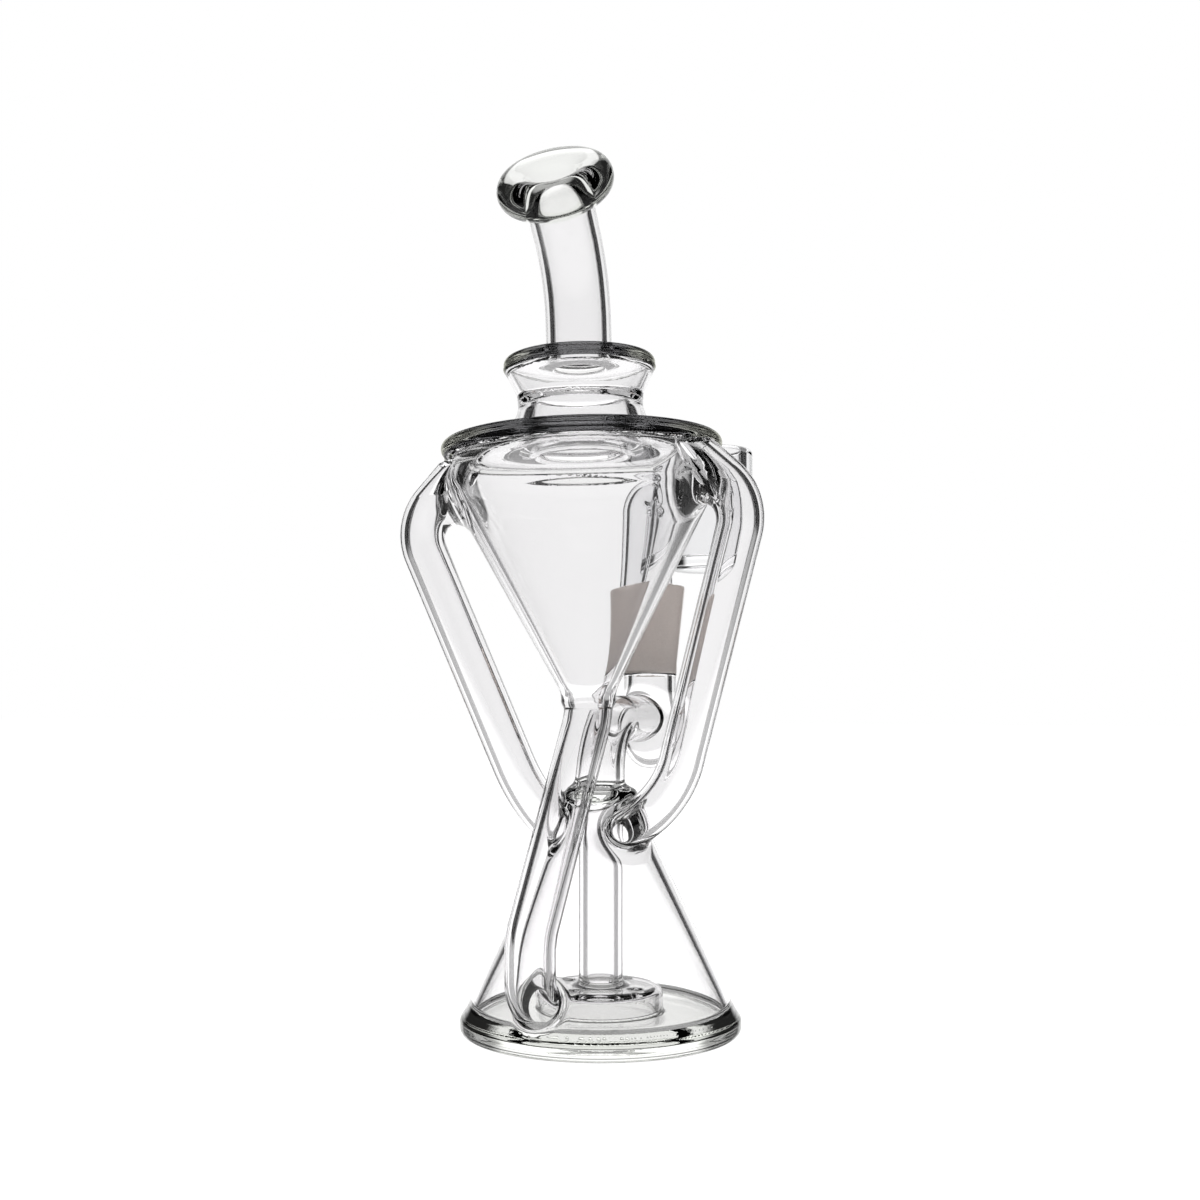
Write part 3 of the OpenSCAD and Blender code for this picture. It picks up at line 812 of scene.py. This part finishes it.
def edge_shade_material():
    """The rolled edge of a thick disc, with painted shade: dark facing the camera, a painted olive
    towards the disc's two ends.
    """
    material = glass_material("rolled_edge_painted_shade", THICK_TINT, 1.47)
    nodes, links = material.node_tree.nodes, material.node_tree.links
    glass = next(n for n in nodes if n.bl_idname == "ShaderNodeBsdfGlass")
    rays = nodes.new("ShaderNodeLightPath")
    place = nodes.new("ShaderNodeNewGeometry")
    turn = nodes.new("ShaderNodeVectorTransform")
    turn.vector_type, turn.convert_from, turn.convert_to = "NORMAL", "WORLD", "CAMERA"
    split = nodes.new("ShaderNodeSeparateXYZ")
    sideways = nodes.new("ShaderNodeMath")
    sideways.operation = "ABSOLUTE"
    tone = nodes.new("ShaderNodeValToRGB")
    for element, at, colour in zip(tone.color_ramp.elements, (0.55, 0.9), (EDGE_PAINTED_SHADE, EDGE_PAINTED_OLIVE)):
        element.position, element.color = at, (*colour, 1)
    seen = nodes.new("ShaderNodeMixRGB")
    seen.inputs["Color1"].default_value = (*THICK_TINT, 1)
    links.new(place.outputs["Normal"], turn.inputs[0])
    links.new(turn.outputs[0], split.inputs[0])
    links.new(split.outputs["X"], sideways.inputs[0])
    links.new(sideways.outputs[0], tone.inputs["Fac"])
    # Only camera rays take the painted shade; other rays see the plain thick tint.
    links.new(rays.outputs["Is Camera Ray"], seen.inputs["Fac"])
    links.new(tone.outputs["Color"], seen.inputs["Color2"])
    links.new(seen.outputs["Color"], glass.inputs["Color"])
    return material


# ---------------------------------------------------------------- pieces

# Material, slot in the record and grid step of each piece.
PIECES = {
    "foot_disc": ("thick", "thick_glass", MEDIUM),
    "base_cone": ("clear", "clear_glass", COARSE),
    "neck_seal": ("weld", "weld_glass", FINE),
    "downstem": ("clear", "clear_glass", MEDIUM),
    "diffuser_puck": ("clear", "clear_glass", FINE),
    "joint_elbow": ("clear", "clear_glass", MEDIUM),
    "joint_body": ("clear", "clear_glass", MEDIUM),
    "joint_socket": ("clear", "ground_glass", MEDIUM),
    "upper_funnel": ("clear", "clear_glass", COARSE),
    "rim_disc": ("clear", "thick_glass", MEDIUM),
    "collar": ("clear", "clear_glass", MEDIUM),
    "collar_cap": ("clear", "thick_glass", FINE),
    "neck_tube": ("clear", "clear_glass", MEDIUM),
    "mouthpiece": ("thick", "thick_glass", FINE),
    "uptake_arm_left": ("clear", "clear_glass", MEDIUM),
    "uptake_arm_right": ("clear", "clear_glass", MEDIUM),
    "drain_tube": ("clear", "clear_glass", MEDIUM),
    "banger_ground_joint": ("quartz", "ground_glass", MEDIUM),
    "banger_neck": ("quartz", "quartz", MEDIUM),
    "banger_bucket": ("quartz", "quartz", MEDIUM),
    "banger_floor": ("quartz", "quartz", MEDIUM)}


def build_mesh(name, points, quads, normals, material_index, materials):
    mesh = bpy.data.meshes.new(name)
    mesh.from_pydata((points * MM).tolist(), [], quads.tolist())
    for material in materials:
        mesh.materials.append(material)
    mesh.polygons.foreach_set("material_index", material_index.astype(np.int32))
    mesh.polygons.foreach_set("use_smooth", np.ones(len(quads), bool))
    normals = normals / np.maximum(np.linalg.norm(normals, axis=1), 1e-6)[:, None]
    mesh.normals_split_custom_set_from_vertices(normals.tolist())
    mesh.update()
    piece = bpy.data.objects.new(name, mesh)
    bpy.context.scene.collection.objects.link(piece)
    return piece


def edge_shade_face(node, centres, upper):
    """Which faces of a piece are the rolled edge of a thick disc, which takes the painted edge shade.
    """
    q = upper.local(centres)
    edge_r = {"rim_disc": upper.rim_r, "collar_cap": upper.collar[2][0]}.get(node, FAR)
    return np.hypot(q[:, 0], q[:, 1]) > edge_r - EDGE_SHADE_DEPTH


def ground_face(node, centres, joint):
    """Which faces of a piece are sand-blasted: the socket's bore and the outside of the plug."""
    r = np.hypot(centres[:, 0] - joint[0], centres[:, 1] - joint[1])
    if node == "joint_socket":
        return r < SOCKET_BORE + 0.1
    if node == "banger_ground_joint":
        return r > SOCKET_BORE - 1.2
    return np.zeros(len(centres), bool)


def build_pieces(frame, materials):
    body_of = {node: body for body, nodes in frame["record"]["behaviour"]["bodies"].items()
               for node in nodes}
    margin = 2.5
    for source in (Pipe(), Banger()):
        for node, region in source.regions().items():
            look, slot, step = PIECES[node]
            step *= 1
            low, high = corners_mm(node)
            points, quads, normals, on_cut = skin(source.glass, region, low - margin,
                                                  high + margin, step)
            centres = points[quads].mean(1)
            ground = ground_face(node, centres, middle("joint_socket"))
            # Faces at a thick disc's rolled edge take the material with painted edge shade.
            edge_shade = edge_shade_face(node, centres, Upper())
            index = np.select([on_cut, ground, edge_shade], [1, 2, 3], 0)
            piece = build_mesh(node + "_glass", points, quads, normals, index,
                               [materials[look], materials["fused"], materials["ground"],
                                materials["edge_shade"]])
            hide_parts(node)
            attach(piece, body_of[node])


# ---------------------------------------------------------------- studio

CAMERA_AZIMUTH, CAMERA_PITCH = 22.0, 1.803
CAMERA_DISTANCE, CAMERA_HEIGHT = 0.27168, 0.06006
CAMERA_LENS, CAMERA_SHIFT = 44.91, (-0.0006, 0.0417)
# The pale backdrop's half width and half height, as tangents of the angle from the camera's axis:
# where it starts to fall off and where it ends. Its middle stands above the axis.
PANEL_WIDTH, PANEL_HEIGHT, PANEL_RISE = (0.5, 0.72), (1.35, 1.46), 0.9
DARK_TONE, PALE_TONE = 0.02, 1.0
FLOOR_DROP = 0.05 * MM
FLOOR_MATT = 0.08
# Reach and depth of the painted shade on the floor close to the glass.
PAINTED_SHADE_REACH, PAINTED_SHADE_DEPTH = 0.03, 0.35


def fall_off(nodes, links, side, ahead, aim, limits):
    """1 near the backdrop's middle and 0 beyond its edge, along one of its two sides."""
    ratio, off, size = (nodes.new("ShaderNodeMath") for _ in range(3))
    ratio.operation, off.operation, size.operation = "DIVIDE", "SUBTRACT", "ABSOLUTE"
    off.inputs[1].default_value = aim
    spread = nodes.new("ShaderNodeMapRange")
    spread.interpolation_type = "SMOOTHSTEP"
    spread.inputs["From Min"].default_value = limits[1]
    spread.inputs["From Max"].default_value = limits[0]
    links.new(side, ratio.inputs[0])
    links.new(ahead, ratio.inputs[1])
    links.new(ratio.outputs[0], off.inputs[0])
    links.new(off.outputs[0], size.inputs[0])
    links.new(size.outputs[0], spread.inputs["Value"])
    return spread.outputs["Result"]


def backdrop_tone(nodes, links, direction):
    """The backdrop's tone along a direction in the camera's frame."""
    split = nodes.new("ShaderNodeSeparateXYZ")
    links.new(direction, split.inputs[0])
    ahead = nodes.new("ShaderNodeMath")
    ahead.operation = "MAXIMUM"
    ahead.inputs[1].default_value = 0.001
    links.new(split.outputs["Z"], ahead.inputs[0])
    both = nodes.new("ShaderNodeMath")
    both.operation = "MULTIPLY"
    for i, (side, aim, limits) in enumerate((("X", 0, PANEL_WIDTH), ("Y", PANEL_RISE, PANEL_HEIGHT))):
        links.new(fall_off(nodes, links, split.outputs[side], ahead.outputs[0], aim, limits),
                  both.inputs[i])
    tone = nodes.new("ShaderNodeMapRange")
    tone.inputs["To Min"].default_value = DARK_TONE
    tone.inputs["To Max"].default_value = PALE_TONE
    links.new(both.outputs[0], tone.inputs["Value"])
    return tone.outputs["Result"]


def light_backdrop():
    """A pale backdrop that stays ahead of the camera, as for a photograph of clear glass."""
    world = bpy.data.worlds.new("backdrop")
    bpy.context.scene.world = world
    world.use_nodes = True
    nodes, links = world.node_tree.nodes, world.node_tree.links
    nodes.clear()
    out = nodes.new("ShaderNodeOutputWorld")
    light = nodes.new("ShaderNodeBackground")
    coord = nodes.new("ShaderNodeTexCoord")
    links.new(backdrop_tone(nodes, links, coord.outputs["Camera"]), light.inputs["Strength"])
    links.new(light.outputs[0], out.inputs["Surface"])
    light.inputs["Color"].default_value = (1, 1, 1, 1)


def floor_material():
    """A pale floor that glows as bright as the backdrop, with painted shade making it a little greyer
    close under the glass.
    """
    material, nodes, links = new_material("pale_floor")
    out = nodes.new("ShaderNodeOutputMaterial")
    place = nodes.new("ShaderNodeNewGeometry")
    away = nodes.new("ShaderNodeVectorMath")
    away.operation = "SCALE"
    away.inputs["Scale"].default_value = -1
    turn = nodes.new("ShaderNodeVectorTransform")
    turn.vector_type = "VECTOR"
    turn.convert_from, turn.convert_to = "WORLD", "CAMERA"
    # Painted shade: ambient occlusion darkens the floor's glow close to the glass.
    nearby = nodes.new("ShaderNodeAmbientOcclusion")
    nearby.inputs["Distance"].default_value = PAINTED_SHADE_REACH
    shade = nodes.new("ShaderNodeMapRange")
    shade.inputs["To Min"].default_value = 1 - PAINTED_SHADE_DEPTH
    level = nodes.new("ShaderNodeMath")
    level.operation = "MULTIPLY"
    glow, matt, add = (nodes.new("ShaderNodeEmission"), nodes.new("ShaderNodeBsdfDiffuse"),
                       nodes.new("ShaderNodeAddShader"))
    matt.inputs["Color"].default_value = (FLOOR_MATT, FLOOR_MATT, FLOOR_MATT, 1)
    links.new(place.outputs["Incoming"], away.inputs[0])
    links.new(away.outputs[0], turn.inputs[0])
    links.new(nearby.outputs["AO"], shade.inputs["Value"])
    links.new(backdrop_tone(nodes, links, turn.outputs[0]), level.inputs[0])
    links.new(shade.outputs["Result"], level.inputs[1])
    links.new(level.outputs[0], glow.inputs["Strength"])
    links.new(glow.outputs[0], add.inputs[0])
    links.new(matt.outputs[0], add.inputs[1])
    links.new(add.outputs[0], out.inputs["Surface"])
    return material


def build_floor():
    reach = 3.0
    mesh = bpy.data.meshes.new("floor")
    mesh.from_pydata([(x * reach, y * reach, -FLOOR_DROP)
                      for x, y in ((-1, -1), (1, -1), (1, 1), (-1, 1))], [], [(0, 1, 2, 3)])
    mesh.materials.append(floor_material())
    floor = bpy.data.objects.new("floor", mesh)
    bpy.context.scene.collection.objects.link(floor)


def add_softbox(name, at, target, size, power):
    light = bpy.data.lights.new(name, "AREA")
    light.shape = "RECTANGLE"
    light.size, light.size_y = size
    light.energy = power
    box = bpy.data.objects.new(name, light)
    box.location = at
    box.rotation_euler = (Vector(target) - Vector(at)).to_track_quat("-Z", "Y").to_euler()
    box.visible_glossy = box.visible_transmission = box.visible_camera = False
    bpy.context.scene.collection.objects.link(box)


def build_studio():
    light_backdrop()
    build_floor()
    add_softbox("top_softbox", (0, 0, 0.75), (0, 0, 0), (0.9, 0.9), 52.0)
    camera = bpy.data.cameras.new("camera")
    camera.lens, camera.sensor_width = CAMERA_LENS, 36.0
    camera.shift_x, camera.shift_y = CAMERA_SHIFT
    camera.clip_start = 0.01
    holder = bpy.data.objects.new("camera", camera)
    a = math.radians(CAMERA_AZIMUTH)
    holder.location = (CAMERA_DISTANCE * math.sin(a), -CAMERA_DISTANCE * math.cos(a), CAMERA_HEIGHT)
    holder.rotation_euler = (math.radians(90 + CAMERA_PITCH), 0, a)
    bpy.context.scene.collection.objects.link(holder)
    scene = bpy.context.scene
    scene.camera = holder
    scene.view_settings.view_transform = "Standard"
    scene.cycles.max_bounces = 40
    scene.cycles.transmission_bounces = 40
    scene.cycles.transparent_max_bounces = 64


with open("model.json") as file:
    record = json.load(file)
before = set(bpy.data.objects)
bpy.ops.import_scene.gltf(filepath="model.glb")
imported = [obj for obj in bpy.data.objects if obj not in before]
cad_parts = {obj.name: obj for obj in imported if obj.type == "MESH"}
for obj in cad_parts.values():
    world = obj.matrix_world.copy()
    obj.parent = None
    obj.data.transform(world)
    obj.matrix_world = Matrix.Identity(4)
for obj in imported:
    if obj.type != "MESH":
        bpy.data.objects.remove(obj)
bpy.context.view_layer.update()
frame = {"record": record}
build_pieces(frame, {
    "clear": glass_material("clear_glass", (0.99, 0.988, 0.99), 1.47, ripple=0.02),
    "thick": glass_material("thick_glass", THICK_TINT, 1.47),
    "weld": glass_material("weld_glass", (0.95, 0.955, 0.945), 1.47),
    "quartz": glass_material("quartz", (0.99, 0.99, 0.993), 1.46),
    "fused": fused_material(), "ground": ground_material(), "edge_shade": edge_shade_material()})
build_studio()
